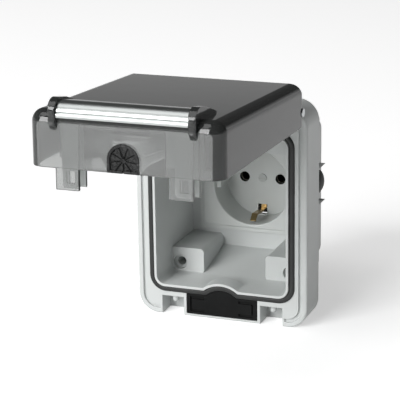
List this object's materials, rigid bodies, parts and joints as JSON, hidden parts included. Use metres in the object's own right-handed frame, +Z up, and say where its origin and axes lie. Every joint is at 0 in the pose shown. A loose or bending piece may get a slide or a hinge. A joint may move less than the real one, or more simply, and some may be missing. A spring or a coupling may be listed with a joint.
{
  "type": "outdoor weatherproof socket",
  "caption": "Flush weatherproof mains socket: grey housing with a deep recess, rubber seal, side-earth socket and a hinged smoked lid with a fluted grip bar.",
  "frame": {"origin": "centre of the flange in the plane of its back, which lies on the wall or panel", "axes": "+X to the user's right, +Z up, -Y out of the wall towards the user"},
  "size_m": [0.0866, 0.1965, 0.1328],
  "materials": {
    "housing_plastic": "fine satin moulded light grey",
    "face_plastic": "satin moulded light grey",
    "screw_plastic": "satin light grey",
    "base_plastic": "matt off-white insulating moulding",
    "carrier_plastic": "satin mid grey",
    "seal_rubber": "matt black rubber",
    "foam_rubber": "matt dark cellular rubber",
    "contact_brass": "pressed spring brass",
    "plated_steel": "zinc plated",
    "pin_steel": "drawn steel",
    "smoked_lid": "clear smoked polycarbonate, polished",
    "bar_aluminium": "satin anodised extrusion"
  },
  "bodies": {
    "case": {"housing": "housing_plastic", "lid_seal": "seal_rubber", "wall_seal": "foam_rubber", "cable_pad": "seal_rubber", "grommet_right": "seal_rubber", "grommet_left": "seal_rubber", "socket_face": "face_plastic", "socket_frame": "face_plastic", "centre_screw": "screw_plastic", "earth_clip": "contact_brass", "contact_left": "contact_brass", "contact_right": "contact_brass", "socket_base": "base_plastic", "terminal_screws": "plated_steel", "mounting_bracket": "plated_steel", "bracket_screws": "plated_steel", "hinge_pin_left": "pin_steel", "hinge_pin_right": "pin_steel"},
    "lid": {"lid_shell": "smoked_lid", "grip_bar": "bar_aluminium", "membrane_carrier": "carrier_plastic", "cable_membrane": "seal_rubber"}
  },
  "joints": [
    {"name": "lid_hinge", "type": "hinge", "parent": "case", "child": "lid", "pos_m": [0, -0.026, 0.0535], "axis": [-1, 0, 0], "range_deg": [-91.5, 25]}
  ]
}
